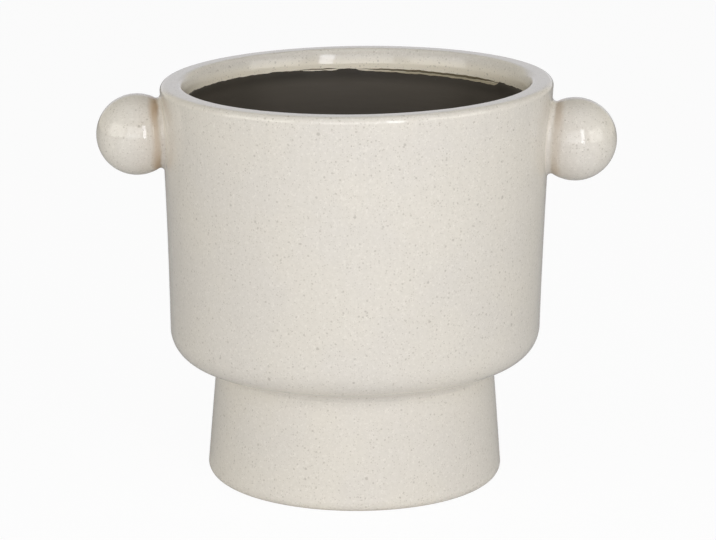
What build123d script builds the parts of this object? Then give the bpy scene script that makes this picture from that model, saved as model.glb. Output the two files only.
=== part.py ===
from build123d import *
import math
import os

# A hand-built stoneware cachepot: a straight bowl on a narrower flared foot, with a ball knob on each
# side. Millimetres, +Z up, origin at the middle of the base, the knobs to the left (-X) and right (+X).

# Overall form
rim_diameter = 200.0
pot_height = 206.0
waist_height = 60.5

# Bowl: wall, underside, floor and rim
wall_base_diameter = 190.2
wall_bow = 0.8
wall_thickness = 12.8
floor_thickness = 11.0
underside_slope = 12.0
lower_corner_round = 16.0
inner_corner_round = 13.0
lip_height = 8.5
lip_flare = 2.1
rim_outer_round = 4.0
rim_inner_round = 2.8
rim_lean = 3.7

# Foot: a flared ring, open below
foot_top_diameter = 142.8
foot_flare = 4.9
foot_thickness = 10.0
foot_outer_round = 5.5
foot_inner_round = 3.0

# Coils of clay pressed into the seam of bowl and foot
outer_coil_size = 4.0
outer_coil_hollow = 0.8
inner_coil_size = 6.0
inner_coil_hollow = 0.9

# Knobs: a hand-rolled ball with a flat back, set by hand below the rim
left_knob_diameter = 41.2
right_knob_diameter = 42.2
left_knob_drop = 26.2
right_knob_drop = 27.5
knob_back_depth = 8.4
knob_back_round = 0.8
knob_forward_angle = 5.0

# Collars: a neck narrower than the knob's back, flared out to a thin pad on the wall
collar_height = 4.2
collar_neck_step = 1.0
collar_flare_round = 2.2
collar_pad_width = 2.6
collar_pad_edge = 0.5
slip_seam = 0.2

# Dark sealing coat, brushed on the inside
coat_thickness = 0.6
coat_drop = 11.0
coat_seam = 0.1

# Spare height of the wall above the rim, before the mouth is cut
overrun = 5.0

os.makedirs("parts", exist_ok=True)

# The wall's outer line runs from the lower corner to the rim, bowed in a little at its middle.
rim_radius = rim_diameter / 2
wall_base_radius = wall_base_diameter / 2
foot_top_radius = foot_top_diameter / 2
foot_base_radius = foot_top_radius + foot_flare
overhang = wall_base_radius - foot_top_radius
corner_height = waist_height + overhang * math.tan(math.radians(underside_slope))
floor_height = waist_height + floor_thickness
lip_base = pot_height - lip_height
mouth_height = pot_height + overrun
rim_plane = Plane(
    origin=(0, 0, pot_height),
    x_dir=(rim_diameter, 0, rim_lean),
    z_dir=(-rim_lean, 0, rim_diameter),
)


def wall_radius(height, inset=0.0):
    """Radius of the wall's outer line at a height, or of a line set in from it."""
    share = (height - corner_height) / (pot_height - corner_height)
    taper = wall_base_radius + (rim_radius - wall_base_radius) * share
    return taper - wall_bow * 4 * share * (1 - share) - inset


def wall_lean(height):
    """How far the wall leans out per unit of height, at a height."""
    run = pot_height - corner_height
    share = (height - corner_height) / run
    return (rim_radius - wall_base_radius - wall_bow * 4 * (1 - 2 * share)) / run


def wall_line(low, high, inset=0.0):
    """The wall's line between two heights, as an arc."""
    middle = (low + high) / 2
    return ThreePointArc(
        (wall_radius(low, inset), low),
        (wall_radius(middle, inset), middle),
        (wall_radius(high, inset), high),
    )


def inside_line(low, inset):
    """The inside's line up to the mouth, the lip flaring out of the wall. Returns its two ends."""
    wall = wall_line(low, lip_base, inset)
    lip_shares = (mouth_height - lip_base) / lip_height
    lip_radius = wall_radius(mouth_height, inset) + lip_flare * lip_shares**2
    lip = TangentArc(wall @ 1, (lip_radius, mouth_height), tangent=wall % 1)
    return wall @ 0, lip @ 1


# The bowl is turned, its mouth is cut a little out of level, and the rim is rounded.
with BuildPart() as bowl:
    with BuildSketch(Plane.XZ) as section:
        with BuildLine():
            Polyline((0, floor_height), (0, waist_height), (foot_top_radius, waist_height))
            Line((foot_top_radius, waist_height), (wall_base_radius, corner_height))
            outside = wall_line(corner_height, mouth_height)
            inside_foot, inside_top = inside_line(floor_height, wall_thickness)
            Line(outside @ 1, inside_top)
            Line(inside_foot, (0, floor_height))
        make_face()
        lower_corner = section.vertices().sort_by_distance(outside @ 0)[0]
        fillet(lower_corner, min(lower_corner_round, overhang))
        inner_corner = section.vertices().sort_by_distance(inside_foot)[0]
        fillet(inner_corner, inner_corner_round)
    revolve(axis=Axis.Z)
    split(bisect_by=rim_plane, keep=Keep.BOTTOM)
    mouth = bowl.faces().filter_by(GeomType.PLANE).sort_by(Axis.Z)[-1]
    fillet(mouth.outer_wire().edges(), rim_outer_round)
    mouth = bowl.faces().filter_by(GeomType.PLANE).sort_by(Axis.Z)[-1]
    fillet(mouth.inner_wires()[0].edges(), rim_inner_round)
bowl.part.label = "bowl"
export_step(bowl.part, "parts/bowl.step")

# The coat lines the bowl, a seam apart, up to an edge that keeps its distance below the rim.
coat_back = wall_thickness + coat_seam
coat_face = coat_back + coat_thickness
back_floor = floor_height + coat_seam
face_floor = back_floor + coat_thickness
back_round = inner_corner_round - coat_seam
coat_plane = rim_plane.offset(-coat_drop)
with BuildPart() as inner_coat:
    with BuildSketch(Plane.XZ) as section:
        with BuildLine():
            back_foot, back_top = inside_line(back_floor, coat_back)
            face_foot, face_top = inside_line(face_floor, coat_face)
            Line(back_top, face_top)
            Polyline(back_foot, (0, back_floor), (0, face_floor), face_foot)
        make_face()
        back_corner = section.vertices().sort_by_distance(back_foot)[0]
        fillet(back_corner, back_round)
        face_corner = section.vertices().sort_by_distance(face_foot)[0]
        fillet(face_corner, back_round - coat_thickness)
    revolve(axis=Axis.Z)
    split(bisect_by=coat_plane, keep=Keep.BOTTOM)
inner_coat.part.label = "inner_coat"
export_step(inner_coat.part, "parts/inner_coat.step")

# The foot is a flared ring with a soft base edge. Its top carries the bowl's flat bottom.
flare_slope = foot_flare / waist_height
with BuildPart() as foot:
    with BuildSketch(Plane.XZ) as section:
        with BuildLine():
            Polyline(
                (foot_base_radius, 0),
                (foot_top_radius, waist_height),
                (foot_top_radius - foot_thickness, waist_height),
                (foot_base_radius - foot_thickness, 0),
                close=True,
            )
        make_face()
        outer_edge = section.vertices().sort_by_distance((foot_base_radius, 0))[0]
        fillet(outer_edge, foot_outer_round)
        inner_edge = section.vertices().sort_by_distance((foot_base_radius - foot_thickness, 0))[0]
        fillet(inner_edge, foot_inner_round)
    revolve(axis=Axis.Z)
foot.part.label = "foot"
export_step(foot.part, "parts/foot.step")

# Outside, a coil is smoothed into the crease under the bowl. Inside, another fills the foot's top corner.
slope = math.radians(underside_slope)
with BuildPart() as waist_coil:
    with BuildSketch(Plane.XZ):
        with BuildLine():
            crease = (foot_top_radius, waist_height)
            low = (foot_top_radius + outer_coil_size * flare_slope, waist_height - outer_coil_size)
            high = (
                foot_top_radius + outer_coil_size * math.cos(slope),
                waist_height + outer_coil_size * math.sin(slope),
            )
            Polyline(low, crease, high)
            SagittaArc(low, high, outer_coil_hollow)
        make_face()
    revolve(axis=Axis.Z)
waist_coil.part.label = "waist_coil"
export_step(waist_coil.part, "parts/waist_coil.step")

bore_radius = foot_top_radius - foot_thickness
with BuildPart() as foot_coil:
    with BuildSketch(Plane.XZ):
        with BuildLine():
            corner = (bore_radius, waist_height)
            low = (bore_radius + inner_coil_size * flare_slope, waist_height - inner_coil_size)
            high = (bore_radius - inner_coil_size, waist_height)
            Polyline(low, corner, high)
            SagittaArc(low, high, -inner_coil_hollow)
        make_face()
    revolve(axis=Axis.Z)
foot_coil.part.label = "foot_coil"
export_step(foot_coil.part, "parts/foot_coil.step")

# Each knob was set by hand, square to the wall, so each has its own size and drop, and both sit a little
# forward of the middle.
ball_reach = collar_height + knob_back_depth
collar_depth = collar_height + wall_thickness
neck_limit_share = 0.8
flare_round = min(collar_flare_round, neck_limit_share * (collar_height - collar_pad_edge))
knobs = {
    "left": (180 + knob_forward_angle, left_knob_drop, left_knob_diameter / 2),
    "right": (-knob_forward_angle, right_knob_drop, right_knob_diameter / 2),
}
for side, (bearing, drop, ball_radius) in knobs.items():
    height = pot_height - drop
    back_radius = math.sqrt(ball_radius**2 - knob_back_depth**2)
    neck_radius = back_radius - collar_neck_step
    pad_radius = neck_radius + collar_pad_width
    outward = Vector(1, 0, 0).rotate(Axis.Z, bearing)
    sideways = Vector(0, -1, 0).rotate(Axis.Z, bearing)
    square_on = Vector(1, 0, -wall_lean(height)).normalized().rotate(Axis.Z, bearing)
    on_wall = outward * wall_radius(height) + Vector(0, 0, height)
    upright = Plane(origin=on_wall, x_dir=square_on, z_dir=sideways)
    seat = Plane(origin=on_wall + square_on * collar_height, x_dir=sideways, z_dir=square_on)
    knob_axis = Axis(on_wall, square_on)

    # The ball is cut flat at the back, and the cut's edge is eased.
    with BuildPart() as knob:
        with BuildSketch(upright):
            with BuildLine():
                tip = (ball_reach + ball_radius, 0)
                back_edge = (collar_height, back_radius)
                Polyline(tip, (collar_height, 0), back_edge)
                ThreePointArc(back_edge, (ball_reach, ball_radius), tip)
            make_face()
        revolve(axis=knob_axis)
        fillet(knob.edges().sort_by(knob_axis)[0], knob_back_round)
    knob.part.label = f"{side}_knob"
    export_step(knob.part, f"parts/{side}_knob.step")

    # The collar starts as the pot's form, thicker by the pad, with the neck flared out of it. The pad's
    # round outline is cut from that, and the wall is taken away, so the back is a saddle that fits it, a
    # seam of slip apart.
    with BuildPart() as collar:
        with BuildSketch(Plane.XZ):
            with BuildLine():
                pad_line = wall_line(corner_height, mouth_height, -collar_pad_edge)
                Polyline(pad_line @ 0, (0, corner_height), (0, mouth_height), pad_line @ 1)
            make_face()
        revolve(axis=Axis.Z)
        with BuildSketch(seat):
            Circle(neck_radius)
        extrude(amount=-collar_depth)
        fillet(collar.edges(Select.NEW), flare_round)
        with BuildSketch(seat):
            Circle(pad_radius)
        extrude(amount=-collar_depth, mode=Mode.INTERSECT)
        with BuildSketch(Plane.XZ):
            with BuildLine():
                back_line = wall_line(corner_height, mouth_height, -slip_seam)
                Polyline(back_line @ 0, (0, corner_height), (0, mouth_height), back_line @ 1)
            make_face()
        revolve(axis=Axis.Z, mode=Mode.SUBTRACT)
    collar.part.label = f"{side}_collar"
    export_step(collar.part, f"parts/{side}_collar.step")
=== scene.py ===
import math

import bpy
from mathutils import Matrix, Vector


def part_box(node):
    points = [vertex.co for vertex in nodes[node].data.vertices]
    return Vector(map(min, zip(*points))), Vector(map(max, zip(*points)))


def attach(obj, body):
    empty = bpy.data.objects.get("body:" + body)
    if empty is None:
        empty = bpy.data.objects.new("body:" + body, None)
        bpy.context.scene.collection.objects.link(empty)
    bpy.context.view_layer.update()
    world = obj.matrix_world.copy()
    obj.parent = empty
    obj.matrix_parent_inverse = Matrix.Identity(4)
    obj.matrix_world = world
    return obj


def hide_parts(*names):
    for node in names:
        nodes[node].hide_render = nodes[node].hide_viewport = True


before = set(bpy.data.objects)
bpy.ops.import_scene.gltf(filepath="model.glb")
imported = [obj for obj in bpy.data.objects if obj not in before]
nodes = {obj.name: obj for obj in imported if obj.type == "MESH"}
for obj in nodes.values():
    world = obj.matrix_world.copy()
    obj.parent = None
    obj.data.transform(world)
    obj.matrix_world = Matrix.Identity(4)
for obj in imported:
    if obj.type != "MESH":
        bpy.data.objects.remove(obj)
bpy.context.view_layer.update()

# Sizes of the pot, in metres. What the frame can tell is read from it.
MM = 0.001
RIM_RADIUS = 100.0 * MM
WALL_BASE_RADIUS = 95.1 * MM
WALL_BOW = 0.8 * MM
WALL_THICKNESS = 12.8 * MM
POT_HEIGHT = 206.0 * MM
WAIST_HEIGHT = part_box("foot")[1].z
CORNER_HEIGHT = 65.54 * MM
FOOT_TOP_RADIUS = 71.4 * MM
LOWER_CORNER_ROUND = 16.0 * MM
RIM_OUTER_ROUND = 3.2 * MM
RIM_INNER_ROUND = 2.8 * MM
LIP_HEIGHT = 8.5 * MM
LIP_FLARE = 2.1 * MM
RIM_LEAN = 3.66 * MM
CORNER_LEAN = 2.4 * MM
COAT_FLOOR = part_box("inner_coat")[0].z
COAT_CORNER = 13.0 * MM
COAT_THICKNESS = 0.5 * MM
COLLAR_HEIGHT = 4.2 * MM
GROOVE_ROUND = 2.0 * MM
KNOB_BACK_DEPTH = 8.4 * MM
LEFT_DROP = 26.2 * MM
RIGHT_DROP = 27.5 * MM

# How far forward the knobs sit, in degrees, and how far a neck reaches up its ball, in radians
KNOB_FORWARD = 5.0
GROOVE_COVER = 0.20

# How far the glaze breaks to tan at each knob
LEFT_TAN = 1.0
RIGHT_TAN = 0.5

# The photograph's frame and the camera that was fitted to the pot's outline in it. Distances are in metres
# and angles in degrees.
PHOTO_WIDTH_PX = 716
PHOTO_HEIGHT_PX = 540
FOCAL_PX = 3209.3
CENTRE_X_PX = 355.47
CENTRE_Y_PX = 272.7
CAMERA_REACH = 1.5999
CAMERA_HEIGHT = 0.5072
CAMERA_PITCH = 14.11
CAMERA_ROLL = 0.30

# The soft lights: their two whites, and the height on the pot's axis that they face
COOL_WHITE = (0.955, 0.975, 1.05)
WARM_WHITE = (1.0, 0.98, 0.92)
LIGHT_AIM_HEIGHT = 0.13

# Colours of the glaze
CREAM_WARM = (0.725, 0.682, 0.602, 1)
CREAM_COOL = (0.708, 0.668, 0.600, 1)
CREAM_DEEP = (0.55, 0.515, 0.44, 1)
CREAM_PALE = (0.86, 0.82, 0.745, 1)
RUN_GREY = (0.52, 0.50, 0.45, 1)
# The pale colour inside the lip is painted light, not the glaze's own colour
LIP_PAINTED_LIGHT = (0.92, 0.845, 0.69, 1)
SMEAR_OLIVE = (0.42, 0.36, 0.235, 1)
SPECK_FINE = (0.32, 0.275, 0.21, 1)
SPECK_MEDIUM = (0.27, 0.225, 0.165, 1)
SPECK_LARGE = (0.21, 0.17, 0.125, 1)
GROOVE_TAN = (0.46, 0.335, 0.215, 1)
BARE_CLAY = (0.50, 0.40, 0.29, 1)

# Colours of the sealing coat
COAT_DARK = (0.025, 0.021, 0.016, 1)
COAT_MARKS = (0.038, 0.032, 0.025, 1)
COAT_PATCHES = (0.066, 0.055, 0.041, 1)
# The coat's lighter middle colour is a painted sheen
COAT_PAINTED_SHEEN = (0.092, 0.080, 0.064, 1)
COAT_DUST = (0.14, 0.125, 0.105, 1)
COAT_OLIVE = (0.20, 0.165, 0.095, 1)

# Colours of the room and its floor
PLAIN_WHITE = (1.0, 1.0, 1.0, 1)
ROOM_LIGHT = (1.0, 0.985, 0.955, 1)
ROOM_SIDES = (1.0, 0.93, 0.77, 1)
ROOM_SCREEN = (0.97, 0.965, 1.0, 1)
FLOOR_PALE = (0.94, 0.94, 0.94, 1)

# Upper edge of the brushed coat: bearing in degrees and drop below the rim in millimetres. From the right
# round the back to the left it follows the photograph. The front, at negative bearings, is hidden and goes
# on at about the same drop.
COAT_EDGE = (
    (-180, 8.4), (-150, 10.6), (-120, 10.6), (-90, 11.3), (-60, 10.8), (-30, 11.0), (-8, 9.5),
    (4, 9.3), (11, 10.3), (18, 10.7), (26, 11.1), (28.5, 10.7), (30.5, 10.9), (32, 12.4), (33.5, 13.2),
    (38, 13.4), (52, 13.2), (68, 12.8), (86, 11.9), (89, 11.1), (90.5, 10.5), (93, 10.3), (96, 10.4),
    (97.5, 10.8), (99, 11.0), (105, 10.8), (110, 10.3), (113, 9.9), (118, 9.6), (125, 9.6), (137, 9.4),
    (153, 9.3), (170, 8.7), (180, 8.4),
)
# Thin brush lines above that edge: bearing, drop and half of the line's height, in the same units
LONG_LINE = (
    (30.5, 11.4, 0.70), (34, 11.5, 0.62), (39, 11.5, 0.60), (46, 11.6, 0.66), (52, 11.6, 0.60),
    (61, 11.5, 0.54), (68, 11.2, 0.62), (71, 11.2, 0.54), (80, 10.9, 0.42), (90.5, 10.7, 0.30),
)
SHORT_LINE = ((96, 10.3, 0.26), (100, 10.1, 0.34), (105, 10.0, 0.30), (112, 9.8, 0.16))


def wall_radius(z, inset=0.0):
    """Radius of the wall's outer line at a height, or of a line set in from it."""
    share = (z - CORNER_HEIGHT) / (POT_HEIGHT - CORNER_HEIGHT)
    taper = WALL_BASE_RADIUS + (RIM_RADIUS - WALL_BASE_RADIUS) * share
    return taper - WALL_BOW * 4 * share * (1 - share) - inset


def wall_lean(z):
    """How far the wall leans out per unit of height."""
    run = POT_HEIGHT - CORNER_HEIGHT
    share = (z - CORNER_HEIGHT) / run
    return (RIM_RADIUS - WALL_BASE_RADIUS - WALL_BOW * 4 * (1 - 2 * share)) / run


def rim_height(x):
    """Height of the rim's plane, which leans towards one side."""
    return POT_HEIGHT + RIM_LEAN * x / (2 * RIM_RADIUS)


def inside_radius(z, x, inset=0.0):
    """Radius of the inside at a height: the wall, and the lip that flares out of it."""
    level = z - rim_height(x) + POT_HEIGHT
    rise = max(0.0, level - (POT_HEIGHT - LIP_HEIGHT)) / LIP_HEIGHT
    return wall_radius(level, WALL_THICKNESS + inset) + LIP_FLARE * rise * rise


def hand_waver(z, bearing):
    """How far a hand-built wall lies inside its true round, a few tenths of a millimetre at most."""
    rise = z / POT_HEIGHT
    swell = math.sin(2 * bearing + 1.3 + 2.0 * rise) + math.sin(3 * bearing - 0.4 + 5.0 * rise)
    ripple = math.sin(7 * bearing + 9.0 * rise) + math.sin(11 * bearing - 14.0 * rise + 0.9)
    return (0.16 + 0.055 * swell + 0.02 * ripple) * MM


def eased(share):
    """A share from 0 to 1 that starts and ends gently."""
    return share * share * (3 - 2 * share)


def between(a, b, share):
    """A point part of the way from one point to another."""
    return tuple(p + (q - p) * share for p, q in zip(a, b))


def along(table, where):
    """Values of a table at a place, eased between its rows."""
    for low, high in zip(table, table[1:]):
        if low[0] <= where <= high[0]:
            return between(low[1:], high[1:], eased((where - low[0]) / (high[0] - low[0])))
    return table[0][1:] if where < table[0][0] else table[-1][1:]


# Building objects


def add_object(name, data):
    """A new object in the scene."""
    made = bpy.data.objects.new(name, data)
    bpy.context.scene.collection.objects.link(made)
    return made


def mesh_piece(name, points, faces, material):
    """A smooth-shaded mesh that belongs to the pot and takes its finish from a slot."""
    mesh = bpy.data.meshes.new(name)
    mesh.from_pydata([tuple(p) for p in points], [], faces)
    mesh.validate()
    mesh.update()
    for face in mesh.polygons:
        face.use_smooth = True
    piece = add_object(name, mesh)
    mesh.materials.append(material)
    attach(piece, "root")
    return piece


def ring_faces(count, rows):
    """Quads of a grid that closes round an axis, row by row."""
    faces = []
    for row in range(rows - 1):
        for i in range(count):
            j = (i + 1) % count
            faces.append((row * count + i, row * count + j, (row + 1) * count + j, (row + 1) * count + i))
    return faces


# Materials


def put(tree, kind, inputs=None, **settings):
    """Adds a node, sets its options and fills its inputs with values or links."""
    made = tree.nodes.new(kind)
    for key, value in settings.items():
        setattr(made, key, value)
    for key, value in (inputs or {}).items():
        if isinstance(value, bpy.types.NodeSocket):
            tree.links.new(value, made.inputs[key])
        else:
            made.inputs[key].default_value = value
    return made


def math_node(tree, operation, a, b=0.0):
    """One step of arithmetic on numbers."""
    return put(tree, "ShaderNodeMath", {0: a, 1: b}, operation=operation).outputs[0]


def times(tree, a, b):
    """The product of two numbers."""
    return math_node(tree, "MULTIPLY", a, b)


def vector_node(tree, operation, a, b):
    """One step of arithmetic on vectors."""
    return put(tree, "ShaderNodeVectorMath", {0: a, 1: b}, operation=operation).outputs[0]


def ramp(tree, value, low, high, to_low=0.0, to_high=1.0):
    """A smooth step of a value between two marks."""
    made = put(
        tree,
        "ShaderNodeMapRange",
        {"Value": value, "From Min": low, "From Max": high, "To Min": to_low, "To Max": to_high},
        interpolation_type="SMOOTHSTEP",
        clamp=True,
    )
    return made.outputs["Result"]


def noise(tree, where, size, detail=2.0, rough=0.5):
    """Noise with features of about the given size in metres."""
    made = put(
        tree,
        "ShaderNodeTexNoise",
        {"Vector": where, "Scale": 1 / size, "Detail": detail, "Roughness": rough},
        noise_dimensions="3D",
    )
    return made.outputs["Fac"]


def tint(tree, amount, under, over):
    """A colour laid over another one by an amount."""
    made = put(tree, "ShaderNodeMix", {0: amount, 6: under, 7: over}, data_type="RGBA", blend_type="MIX")
    return made.outputs[2]


def bump(tree, height, strength, distance, under=None, sunk=False):
    """A bumped normal, laid over another one if that is given."""
    inputs = {"Strength": strength, "Distance": distance, "Height": height}
    if under is not None:
        inputs["Normal"] = under
    return put(tree, "ShaderNodeBump", inputs, invert=sunk).outputs[0]


def speckles(tree, where, cell, largest, crowd):
    """Round spots in a cell pattern. Few are large, and most are small."""
    soft_edge = 0.45
    cells = put(
        tree,
        "ShaderNodeTexVoronoi",
        {"Vector": where, "Scale": 1 / cell, "Randomness": 1.0},
        voronoi_dimensions="3D",
        feature="F1",
    )
    chance = put(tree, "ShaderNodeSeparateColor", {0: cells.outputs["Color"]}).outputs[0]
    radius = times(tree, math_node(tree, "POWER", chance, crowd), largest / cell)
    inside = math_node(tree, "SUBTRACT", radius, cells.outputs["Distance"])
    return ramp(tree, inside, 0.0, soft_edge * largest / cell)


def empty_tree(owner):
    """The node tree of a material or a world, emptied."""
    owner.use_nodes = True
    owner.node_tree.nodes.clear()
    return owner.node_tree


def new_material(name):
    """A material with a shader, and where on the pot it is."""
    material = bpy.data.materials.new(name)
    tree = empty_tree(material)
    output = put(tree, "ShaderNodeOutputMaterial")
    shader = put(tree, "ShaderNodeBsdfPrincipled")
    tree.links.new(shader.outputs["BSDF"], output.inputs["Surface"])
    where = put(tree, "ShaderNodeTexCoord").outputs["Object"]
    return material, tree, shader, where


def cream(tree, where, height):
    """The cream: warmer and cooler in broad patches, mottled and flecked, with faint runs under the rim."""
    patches = ramp(tree, noise(tree, where, 45 * MM, 3.0), 0.35, 0.65)
    colour = tint(tree, patches, CREAM_WARM, CREAM_COOL)
    mottle = ramp(tree, noise(tree, where, 1.9 * MM, 3.0, 0.6), 0.38, 0.66)
    colour = tint(tree, times(tree, mottle, 0.15), colour, CREAM_DEEP)
    flecks = ramp(tree, noise(tree, where, 1.2 * MM, 2.0, 0.6), 0.54, 0.72)
    colour = tint(tree, times(tree, flecks, 0.45), colour, CREAM_PALE)
    drawn = put(tree, "ShaderNodeMapping", {"Vector": where, "Scale": (1.0, 1.0, 0.05)}).outputs[0]
    runs = ramp(tree, noise(tree, drawn, 3.2 * MM, 2.0), 0.50, 0.68)
    near_rim = ramp(tree, height, 120 * MM, 185 * MM)
    return tint(tree, times(tree, times(tree, runs, near_rim), 0.06), colour, RUN_GREY)


def inside_lip(tree, parts, colour):
    """Inside the lip painted light makes the glaze paler. The coat's brush left an olive smear on it,
    between its lines and at the right."""
    x = parts.outputs["X"]
    x_squared = math_node(tree, "POWER", x, 2.0)
    y_squared = math_node(tree, "POWER", parts.outputs["Y"], 2.0)
    reach_squared = math_node(tree, "ADD", x_squared, y_squared)
    level = math_node(tree, "SUBTRACT", parts.outputs["Z"], times(tree, x, RIM_LEAN / (2 * RIM_RADIUS)))
    within = ramp(tree, reach_squared, (90.5 * MM) ** 2, (89.0 * MM) ** 2)
    within = times(tree, within, ramp(tree, level, POT_HEIGHT - 30 * MM, POT_HEIGHT - 20 * MM))
    # Painted light: the glaze inside the lip is made paler, more so further below the rim
    lip_painted_light = ramp(tree, level, POT_HEIGHT - 2 * MM, POT_HEIGHT - 9 * MM)
    colour = tint(tree, times(tree, within, lip_painted_light), colour, LIP_PAINTED_LIGHT)
    low_down = ramp(tree, level, POT_HEIGHT - 8 * MM, POT_HEIGHT - 12.5 * MM)
    at_right = ramp(tree, x, 45 * MM, 82 * MM, 0.0, 0.50)
    in_gap = ramp(tree, level, POT_HEIGHT - 10.8 * MM, POT_HEIGHT - 12.3 * MM, 0.0, 0.85)
    smear = math_node(tree, "MAXIMUM", in_gap, times(tree, low_down, at_right))
    return tint(tree, times(tree, within, smear), colour, SMEAR_OLIVE)


def iron(tree, where, colour):
    """Iron speckles in three sizes, none of them quite round. Returns the colour and the larger spots."""
    frayed = 0.9 * MM
    ragged = put(tree, "ShaderNodeTexNoise", {"Vector": where, "Scale": 1 / frayed, "Detail": 2.0})
    ragged = vector_node(tree, "SUBTRACT", ragged.outputs["Color"], (0.5, 0.5, 0.5))
    ragged = put(tree, "ShaderNodeVectorMath", {0: ragged, "Scale": frayed}, operation="SCALE").outputs[0]
    spread = vector_node(tree, "ADD", where, ragged)
    pepper = speckles(tree, spread, 1.05 * MM, 0.42 * MM, 0.8)
    colour = tint(tree, times(tree, pepper, 0.33), colour, SPECK_FINE)
    medium = speckles(tree, spread, 1.9 * MM, 0.72 * MM, 1.5)
    colour = tint(tree, times(tree, medium, 0.33), colour, SPECK_MEDIUM)
    large = speckles(tree, spread, 6.0 * MM, 1.15 * MM, 2.0)
    colour = tint(tree, times(tree, large, 0.34), colour, SPECK_LARGE)
    return colour, math_node(tree, "MAXIMUM", medium, large)


def tan_groove(tree, where, groove, colour):
    """The glaze breaks to tan in a knob's groove, most above and below the ball, and blushes beside it."""
    seat, axis, depth = groove
    offset = vector_node(tree, "SUBTRACT", where, seat)
    out = put(tree, "ShaderNodeVectorMath", {0: offset, 1: axis}, operation="DOT_PRODUCT").outputs["Value"]
    wander = math_node(tree, "SUBTRACT", noise(tree, where, 9 * MM, 2.0), 0.5)
    out = math_node(tree, "ADD", out, times(tree, wander, 3.0 * MM))
    rise = math_node(tree, "ABSOLUTE", put(tree, "ShaderNodeSeparateXYZ", {0: offset}).outputs["Z"])
    line = times(tree, ramp(tree, out, -3.8 * MM, -1.6 * MM), ramp(tree, out, 3.8 * MM, -0.6 * MM))
    line = times(tree, line, ramp(tree, rise, 4 * MM, 17 * MM, 0.55 * depth, 0.95 * depth))
    blush = ramp(tree, out, 15 * MM, 1 * MM, 0.0, 0.14 * depth)
    return tint(tree, math_node(tree, "MAXIMUM", line, blush), colour, GROOVE_TAN)


def glaze(name, groove=None):
    """Glossy cream glaze with speckles. A knob's groove is given by its seat, its axis and its tan."""
    material, tree, shader, where = new_material(name)
    parts = put(tree, "ShaderNodeSeparateXYZ", {0: where})
    height = parts.outputs["Z"]
    colour = cream(tree, where, height)
    colour = inside_lip(tree, parts, colour)
    colour, spots = iron(tree, where, colour)
    if groove is not None:
        colour = tan_groove(tree, where, groove, colour)

    # The foot's contact ring is wiped clean and shows the clay.
    wiped = math_node(tree, "ADD", height, times(tree, noise(tree, where, 6 * MM, 3.0), 0.8 * MM))
    bare = ramp(tree, wiped, 1.3 * MM, 0.8 * MM)
    colour = tint(tree, bare, colour, BARE_CLAY)

    # Speckles are a little duller than the glaze, and bare clay is dull.
    shine = ramp(tree, noise(tree, where, 18 * MM, 4.0), 0.3, 0.7, 0.05, 0.085)
    shine = math_node(tree, "ADD", shine, times(tree, spots, 0.06))
    shine = math_node(tree, "MAXIMUM", shine, times(tree, bare, 0.85))

    # The surface is wavy and faintly pebbled, and the larger speckles are pits.
    waves = bump(tree, noise(tree, where, 30 * MM, 2.0), 0.22, 1.2 * MM)
    skin = bump(tree, noise(tree, where, 1.4 * MM, 3.0), 0.07, 0.10 * MM, waves)
    pits = bump(tree, spots, 0.25, 0.05 * MM, skin, sunk=True)

    tree.links.new(colour, shader.inputs["Base Color"])
    tree.links.new(shine, shader.inputs["Roughness"])
    tree.links.new(pits, shader.inputs["Normal"])
    shader.inputs["IOR"].default_value = 1.5
    return material


def sealing_coat(name, thin):
    """Matte dark coat with the marks of a brush that went round the bowl. Where thin, it turns to olive."""
    material, tree, shader, where = new_material(name)
    parts = put(tree, "ShaderNodeSeparateXYZ", {0: where})
    x = parts.outputs["X"]
    z = parts.outputs["Z"]

    # The marks are drawn out round the bowl, on its wall and on its floor.
    drawn_out = 0.1
    across = vector_node(tree, "MULTIPLY", where, (1.0, 1.0, 0.0))
    reach = put(tree, "ShaderNodeVectorMath", {0: across}, operation="LENGTH").outputs["Value"]
    sweep = put(
        tree,
        "ShaderNodeCombineXYZ",
        {
            0: times(tree, x, drawn_out),
            1: times(tree, parts.outputs["Y"], drawn_out),
            2: math_node(tree, "SUBTRACT", z, reach),
        },
    ).outputs[0]
    marks = noise(tree, sweep, 3.0 * MM, 4.0, 0.6)
    patches = ramp(tree, noise(tree, where, 40 * MM, 3.0), 0.4, 0.7)
    colour = tint(tree, ramp(tree, marks, 0.30, 0.72), COAT_DARK, COAT_MARKS)
    colour = tint(tree, times(tree, patches, 0.35), colour, COAT_PATCHES)

    # A painted sheen lightens it in the middle and further down, so it is darkest along its edge.
    sheen_at_middle = ramp(tree, math_node(tree, "ABSOLUTE", x), 62 * MM, 38 * MM, 0.60, 1.0)
    painted_sheen_depth = ramp(tree, z, POT_HEIGHT - 12 * MM, POT_HEIGHT - 19 * MM)
    colour = tint(tree, times(tree, painted_sheen_depth, sheen_at_middle), colour, COAT_PAINTED_SHEEN)
    dust = speckles(tree, where, 3.0 * MM, 0.5 * MM, 2.0)
    colour = tint(tree, times(tree, dust, 0.20), colour, COAT_DUST)
    colour = tint(tree, thin, colour, COAT_OLIVE)

    dull = ramp(tree, marks, 0.3, 0.7, 0.55, 0.72)
    tree.links.new(colour, shader.inputs["Base Color"])
    tree.links.new(dull, shader.inputs["Roughness"])
    tree.links.new(bump(tree, marks, 0.5, 0.25 * MM), shader.inputs["Normal"])
    shader.inputs["Specular IOR Level"].default_value = 0.32
    return material


# The bowl


def rounded(before, corner, after, radius, steps):
    """Points of the arc that rounds a corner of a section."""
    corner = Vector(corner)
    to_before = (Vector(before) - corner).normalized()
    to_after = (Vector(after) - corner).normalized()
    half = to_before.angle(to_after) / 2
    centre = corner + (to_before + to_after).normalized() * radius / math.sin(half)
    first = corner + to_before * radius / math.tan(half) - centre
    last = corner + to_after * radius / math.tan(half) - centre
    sweep = first.angle(last)
    arc = []
    for k in range(steps + 1):
        share = k / steps
        spoke = first * math.sin(sweep * (1 - share)) + last * math.sin(sweep * share)
        arc.append(tuple(centre + spoke / math.sin(sweep)))
    return arc


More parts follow.
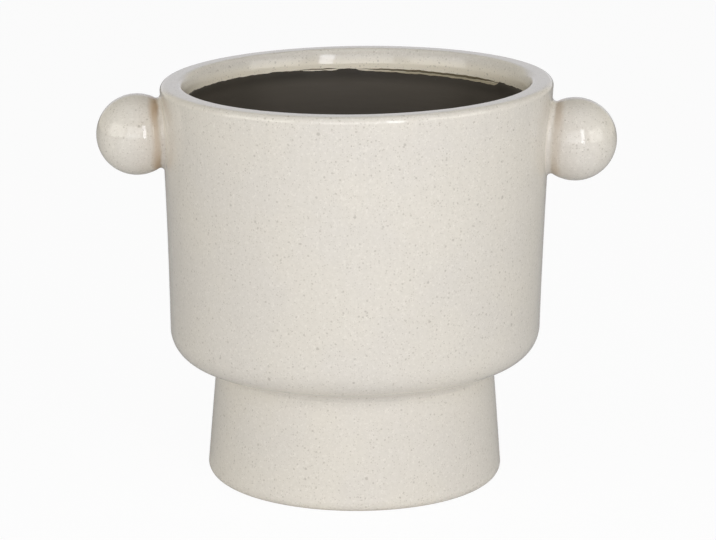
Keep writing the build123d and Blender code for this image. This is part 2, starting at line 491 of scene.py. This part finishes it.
def bowl_section():
    """Half of the bowl's section: out along the underside, up the wall, over the rim and down inside."""
    seat_from = 0.80
    seat_steps = 7
    under_steps = 8
    turn_steps = 28
    wall_steps = 60
    rim_outer_steps = 16
    rim_steps = 6
    rim_inner_steps = 14
    lip_steps = 12
    inside_steps = 24
    corner_steps = 14

    # The flat seat on the foot, the sloping underside and the lower corner
    section = []
    for k in range(seat_steps + 1):
        share = seat_from + (1 - seat_from) * k / seat_steps
        section.append((FOOT_TOP_RADIUS * share, WAIST_HEIGHT))
    crease = section[-1]
    corner = (WALL_BASE_RADIUS, CORNER_HEIGHT)
    above = (wall_radius(CORNER_HEIGHT + LOWER_CORNER_ROUND), CORNER_HEIGHT + LOWER_CORNER_ROUND)
    turn = rounded((FOOT_TOP_RADIUS, WAIST_HEIGHT), corner, above, LOWER_CORNER_ROUND, turn_steps)
    for k in range(1, under_steps):
        section.append(between(crease, turn[0], k / under_steps))
    section += turn

    # The wall and the rim
    rim = (RIM_RADIUS, POT_HEIGHT)
    lip = (RIM_RADIUS - WALL_THICKNESS + LIP_FLARE, POT_HEIGHT)
    below_rim = (wall_radius(POT_HEIGHT - RIM_OUTER_ROUND), POT_HEIGHT - RIM_OUTER_ROUND)
    below_lip = (inside_radius(POT_HEIGHT - RIM_INNER_ROUND, 0.0), POT_HEIGHT - RIM_INNER_ROUND)
    over = rounded(below_rim, rim, lip, RIM_OUTER_ROUND, rim_outer_steps)
    inward = rounded(rim, lip, below_lip, RIM_INNER_ROUND, rim_inner_steps)
    low = turn[-1][1]
    high = over[0][1]
    for k in range(1, wall_steps):
        z = low + (high - low) * k / wall_steps
        section.append((wall_radius(z), z))
    section += over
    for k in range(1, rim_steps):
        section.append(between(over[-1], inward[0], k / rim_steps))
    section += inward

    # The lip, the inner wall and the inner corner
    top = inward[-1][1]
    lip_base = POT_HEIGHT - LIP_HEIGHT
    for k in range(1, lip_steps + 1):
        z = top + (lip_base - top) * k / lip_steps
        section.append((inside_radius(z, 0.0), z))
    bend = COAT_FLOOR + COAT_CORNER
    for k in range(1, inside_steps + 1):
        z = lip_base + (bend - lip_base) * k / inside_steps
        section.append((inside_radius(z, 0.0), z))
    flat = inside_radius(bend, 0.0) - COAT_CORNER
    for k in range(1, corner_steps + 1):
        a = math.pi / 2 * k / corner_steps
        section.append((flat + COAT_CORNER * math.cos(a), bend - COAT_CORNER * math.sin(a)))
    return section


def build_bowl(material):
    """The bowl as it was made by hand: not quite round, its rim and its lower corner out of level. Near the
    foot it stays true."""
    count = 480
    true_to = FOOT_TOP_RADIUS + 5 * MM
    true_fade = 10 * MM
    section = bowl_section()
    inside_from = max(range(len(section)), key=lambda k: section[k][1])
    run = POT_HEIGHT - CORNER_HEIGHT
    points = []
    for k, (reach, z) in enumerate(section):
        share = min(1.0, max(0.0, (z - CORNER_HEIGHT) / run))
        lean = (CORNER_LEAN + (RIM_LEAN - CORNER_LEAN) * share) / (2 * RIM_RADIUS)
        free = eased(min(1.0, max(0.0, (reach - true_to) / true_fade)))
        for i in range(count):
            bearing = 2 * math.pi * i / count
            radius = reach - (hand_waver(z, bearing) * free if k < inside_from else 0.0)
            x = radius * math.cos(bearing)
            points.append((x, radius * math.sin(bearing), z + x * lean * free))
    faces = ring_faces(count, len(section))
    last = len(section) - 1
    for row, z in ((0, WAIST_HEIGHT), (last, COAT_FLOOR)):
        points.append((0, 0, z))
        for i in range(count):
            side = (row * count + i, row * count + (i + 1) % count)
            faces.append((len(points) - 1, *(reversed(side) if row == 0 else side)))
    piece = mesh_piece("hand_built_bowl", points, faces, material)
    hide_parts("bowl")


# The inside


def coat_edge(bearing):
    """Height of the coat's upper edge at a bearing in degrees, with the brush's small waver."""
    drop = along(COAT_EDGE, bearing)[0]
    a = math.radians(bearing)
    waver = 0.10 * math.sin(41 * a + 0.7) + 0.07 * math.sin(73 * a + 2.1) + 0.05 * math.sin(127 * a)
    return rim_height(RIM_RADIUS * math.cos(a)) - (drop + waver) * MM


def build_coat(material):
    """A skin on the floor and the inner wall. Its ragged upper edge thins out and ends in the glaze."""
    count = 720
    floor_rings = 14
    corner_rings = 10
    wall_rings = 44
    # Rings of the edge: thickness and distance below the edge, as shares of the coat's thickness
    edge_shares = ((0.75, 0.25), (0.35, 0.12), (-0.08, 0.0))
    floor_top = COAT_FLOOR + COAT_THICKNESS
    corner = COAT_CORNER - COAT_THICKNESS
    low = floor_top + corner
    flat = inside_radius(low, 0.0, COAT_THICKNESS) - corner
    bearings = [math.radians(-180 + 360 * i / count) for i in range(count)]
    edges = [coat_edge(-180 + 360 * i / count) for i in range(count)]
    rows = [[(flat * k / floor_rings, floor_top)] * count for k in range(1, floor_rings + 1)]
    for k in range(1, corner_rings + 1):
        a = math.pi / 2 * k / corner_rings
        rows.append([(flat + corner * math.sin(a), low - corner * math.cos(a))] * count)
    for k in range(1, wall_rings + 1):
        row = []
        for a, top in zip(bearings, edges):
            z = low + (top - COAT_THICKNESS - low) * k / wall_rings
            x = flat * math.cos(a) * k / wall_rings
            row.append((inside_radius(z, x, COAT_THICKNESS), z))
        rows.append(row)
    for thick, below in edge_shares:
        row = []
        for a, top in zip(bearings, edges):
            z = top - below * COAT_THICKNESS
            row.append((inside_radius(z, RIM_RADIUS * math.cos(a), thick * COAT_THICKNESS), z))
        rows.append(row)
    points = [(0, 0, floor_top)]
    for row in rows:
        for a, (reach, z) in zip(bearings, row):
            points.append((reach * math.cos(a), reach * math.sin(a), z))
    faces = [tuple(1 + n for n in reversed(face)) for face in ring_faces(count, len(rows))]
    faces += [(0, 1 + i, 1 + (i + 1) % count) for i in range(count)]
    piece = mesh_piece("brushed_coat", points, faces, material)
    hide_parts("inner_coat")


def build_line(name, table, material):
    """A thin brush line above the coat's edge: a low bead on the inner wall."""
    step = 0.5
    # Across the line: height as a share of its half, and how proud of the glaze in millimetres
    section = ((1.0, -0.02), (0.55, 0.12), (-0.55, 0.12), (-1.0, -0.02))
    start, end = table[0][0], table[-1][0]
    last = int((end - start) / step)
    points = []
    for i in range(last + 1):
        bearing = start + (end - start) * i / last
        drop, half = along(table, bearing)
        taper = min(1.0, 4 * i / last + 0.15, 6 * (last - i) / last + 0.1)
        a = math.radians(bearing)
        wobble = 0.08 * math.sin(57 * a) + 0.05 * math.sin(131 * a + 1.0)
        x = RIM_RADIUS * math.cos(a)
        middle = rim_height(x) - (drop + wobble) * MM
        for up, proud in section:
            z = middle + up * half * taper * MM
            reach = inside_radius(z, x, proud * MM)
            points.append((reach * math.cos(a), reach * math.sin(a), z))
    faces = []
    for i in range(last):
        for k in range(4):
            j = (k + 1) % 4
            faces.append((4 * i + k, 4 * i + 4 + k, 4 * i + 4 + j, 4 * i + j))
    faces += [(0, 1, 2, 3), tuple(4 * last + k for k in (3, 2, 1, 0))]
    mesh_piece(name, points, faces, material)


# The knobs' collars


def knob_setting(side):
    """Point on the wall, axis, upward direction, sideways direction and radius of a knob's ball."""
    bearing = math.radians(180 + KNOB_FORWARD if side == "left" else -KNOB_FORWARD)
    z = POT_HEIGHT - (LEFT_DROP if side == "left" else RIGHT_DROP)
    outward = Vector((math.cos(bearing), math.sin(bearing), 0))
    axis = (outward - Vector((0, 0, wall_lean(z)))).normalized()
    sideways = Vector((0, 0, 1)).cross(outward)
    up = axis.cross(sideways)
    low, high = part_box(side + "_knob")
    on_wall = outward * wall_radius(z) + Vector((0, 0, z))
    return on_wall, axis, up, sideways, (high.z - low.z) / 2


def wall_depth(on_wall, axis, offset):
    """How far along the axis the wall lies, from the tangent plane, at an offset from the axis."""
    rounds = 6
    depth = 0.0
    for _ in range(rounds):
        p = on_wall + offset + axis * depth
        skin = wall_radius(p.z) - hand_waver(p.z, math.atan2(p.y, p.x))
        depth += skin - math.hypot(p.x, p.y)
    return depth


def groove_turn(on_wall, axis, way, ball):
    """The round in the groove of ball and wall: its reach and rise, and its two ends as angles."""
    rounds = 8
    step = 0.5 * MM
    centre = COLLAR_HEIGHT + KNOB_BACK_DEPTH
    reach = ball
    for _ in range(rounds):
        rise = wall_depth(on_wall, axis, way * reach) + GROOVE_ROUND
        reach = math.sqrt((ball + GROOVE_ROUND) ** 2 - (rise - centre) ** 2)
    fall = wall_depth(on_wall, axis, way * reach) - wall_depth(on_wall, axis, way * (reach + step))
    return reach, rise, math.atan2(reach, rise - centre), math.atan2(fall, step)


def build_collar(side, material):
    """Neck of the knob: it leaves the ball's skin and turns out into the wall, smoothed with slip."""
    on_wall, axis, up, sideways, ball = knob_setting(side)
    centre = COLLAR_HEIGHT + KNOB_BACK_DEPTH
    count = 160
    ball_rows = 8
    turn_rows = 18
    rows = ball_rows + turn_rows + 1
    skin = 0.04 * MM
    sunk = 0.12 * MM
    ways = []
    for i in range(count):
        turn = 2 * math.pi * i / count
        ways.append(up * math.cos(turn) + sideways * math.sin(turn))
    turns = [groove_turn(on_wall, axis, way, ball) for way in ways]
    points = []
    for row in range(rows):
        for way, (reach, rise, on_ball, on_skin) in zip(ways, turns):
            if row < ball_rows:
                a = on_ball - GROOVE_COVER * (1 - row / ball_rows)
                size = ball + (skin if row else -skin)
                out = size * math.sin(a)
                lift = centre + size * math.cos(a)
            else:
                share = (row - ball_rows) / turn_rows
                spoke = math.pi + on_skin + (on_ball - on_skin) * (1 - share)
                out = reach + GROOVE_ROUND * math.sin(spoke)
                lift = rise + GROOVE_ROUND * math.cos(spoke) - sunk * share * share
            points.append(on_wall + way * out + axis * lift)
    faces = ring_faces(count, rows)
    points.append(on_wall + axis * centre)
    faces += [(len(points) - 1, (i + 1) % count, i) for i in range(count)]
    points.append(on_wall - axis * WALL_THICKNESS / 2)
    last = (rows - 1) * count
    faces += [(len(points) - 1, last + i, last + (i + 1) % count) for i in range(count)]
    piece = mesh_piece(side + "_neck", points, faces, material)
    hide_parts(side + "_collar")


# The stage


def camera():
    """The camera that was fitted to the photograph."""
    data = bpy.data.cameras.new("camera")
    data.sensor_fit = "HORIZONTAL"
    data.sensor_width = 36.0
    data.lens = FOCAL_PX / PHOTO_WIDTH_PX * data.sensor_width
    data.clip_start = 0.1
    data.clip_end = 20.0
    data.dof.use_dof = False
    made = add_object("camera", data)
    sideways = math.atan2(PHOTO_WIDTH_PX / 2 - CENTRE_X_PX, FOCAL_PX)
    upward = math.atan2(CENTRE_Y_PX - PHOTO_HEIGHT_PX / 2, FOCAL_PX)
    pitch = math.radians(CAMERA_PITCH) - upward
    place = Matrix.Translation((0, -CAMERA_REACH, CAMERA_HEIGHT))
    turn = Matrix.Rotation(-sideways, 4, "Z")
    tip = Matrix.Rotation(math.pi / 2 - pitch, 4, "X")
    roll = Matrix.Rotation(math.radians(CAMERA_ROLL), 4, "Z")
    made.matrix_world = place @ turn @ tip @ roll
    bpy.context.scene.camera = made


def softbox(name, azimuth, elevation, distance, width, height, brightness, colour):
    """A plain rectangular light, white or nearly so, that faces the pot. Brightness is its radiance."""
    data = bpy.data.lights.new(name, "AREA")
    data.shape = "RECTANGLE"
    data.size = width
    data.size_y = height
    data.energy = brightness * math.pi * width * height
    data.color = colour
    made = add_object(name, data)
    a, e = math.radians(azimuth), math.radians(elevation)
    back = Vector((math.sin(a) * math.cos(e), -math.cos(a) * math.cos(e), math.sin(e)))
    made.location = Vector((0, 0, LIGHT_AIM_HEIGHT)) + back * distance
    made.rotation_mode = "QUATERNION"
    made.rotation_quaternion = (-back).to_track_quat("-Z", "Y")
    made.visible_camera = False


def mix_shaders(tree, share, first, second):
    """Two shaders mixed by a share of the second."""
    return put(tree, "ShaderNodeMixShader", {0: share, 1: first.outputs[0], 2: second.outputs[0]})


def surroundings(level, screen_level):
    """A white room: plain white to the camera, softer as light. The glaze mirrors its warm sides and a
    white screen at the back."""
    world = bpy.data.worlds.new("room")
    bpy.context.scene.world = world
    tree = empty_tree(world)
    output = put(tree, "ShaderNodeOutputWorld")
    way = put(tree, "ShaderNodeSeparateXYZ", {0: put(tree, "ShaderNodeTexCoord").outputs["Generated"]})
    screen = tint(tree, ramp(tree, way.outputs["Y"], 0.80, 0.95), ROOM_SIDES, ROOM_SCREEN)
    light = put(tree, "ShaderNodeBackground", {"Color": ROOM_LIGHT, "Strength": level})
    shine = put(tree, "ShaderNodeBackground", {"Color": screen, "Strength": screen_level})
    seen = put(tree, "ShaderNodeBackground", {"Color": PLAIN_WHITE, "Strength": 1.0})
    path = put(tree, "ShaderNodeLightPath")
    mixed = mix_shaders(tree, path.outputs["Is Glossy Ray"], light, shine)
    mixed = mix_shaders(tree, path.outputs["Is Camera Ray"], mixed, seen)
    tree.links.new(mixed.outputs[0], output.inputs["Surface"])


def floor():
    """A pale floor, nearly plain white to the camera, that keeps the pot's soft shadow."""
    half = 6.0
    white_share = 0.95
    material = bpy.data.materials.new("floor")
    tree = empty_tree(material)
    output = put(tree, "ShaderNodeOutputMaterial")
    matte = put(tree, "ShaderNodeBsdfDiffuse", {"Color": FLOOR_PALE})
    white = put(tree, "ShaderNodeEmission", {"Color": PLAIN_WHITE, "Strength": 1.0})
    seen = times(tree, put(tree, "ShaderNodeLightPath").outputs["Is Camera Ray"], white_share)
    mixed = mix_shaders(tree, seen, matte, white)
    tree.links.new(mixed.outputs[0], output.inputs["Surface"])
    mesh = bpy.data.meshes.new("floor")
    corners = [(-half, -half, 0), (half, -half, 0), (half, half, 0), (-half, half, 0)]
    mesh.from_pydata(corners, [], [(0, 1, 2, 3)])
    mesh.materials.append(material)
    made = add_object("floor", mesh)


def dress():
    """Gives every piece its finish and builds the pieces that the plain solids only stand for."""
    cream_glaze = glaze("glaze_cream")
    for name in ("foot", "waist_coil", "foot_coil"):
        nodes[name].data.materials[0] = cream_glaze
    build_bowl(cream_glaze)
    for side in ("left", "right"):
        on_wall, axis = knob_setting(side)[:2]
        seat = on_wall + axis * COLLAR_HEIGHT
        depth = LEFT_TAN if side == "left" else RIGHT_TAN
        finish = glaze("glaze_" + side, (tuple(seat), tuple(axis), depth))
        nodes[side + "_knob"].data.materials[0] = finish
        build_collar(side, finish)
    build_coat(sealing_coat("brushed_seal", 0.0))
    olive = sealing_coat("brushed_seal_thin", 0.65)
    build_line("long_brush_line", LONG_LINE, olive)
    build_line("short_brush_line", SHORT_LINE, olive)


dress()
camera()
surroundings(level=0.175, screen_level=1.0)
# Each light has its azimuth and elevation in degrees, its distance, width and height in metres, its
# brightness and its white.
softbox("window", 21.5, 18, 1.6, 0.27, 1.05, 6.3, COOL_WHITE)
softbox("front", -5, 18, 2.2, 1.60, 1.10, 1.75, COOL_WHITE)
softbox("low_front", -5, 3, 2.2, 2.40, 0.45, 1.35, COOL_WHITE)
softbox("left", -60, 15, 2.0, 1.60, 1.05, 2.15, WARM_WHITE)
softbox("right", 60, 15, 2.0, 1.40, 1.05, 2.2, WARM_WHITE)
softbox("top", 0, 72, 1.8, 1.40, 1.40, 0.45, COOL_WHITE)
floor()
bpy.context.scene.view_settings.view_transform = "Standard"
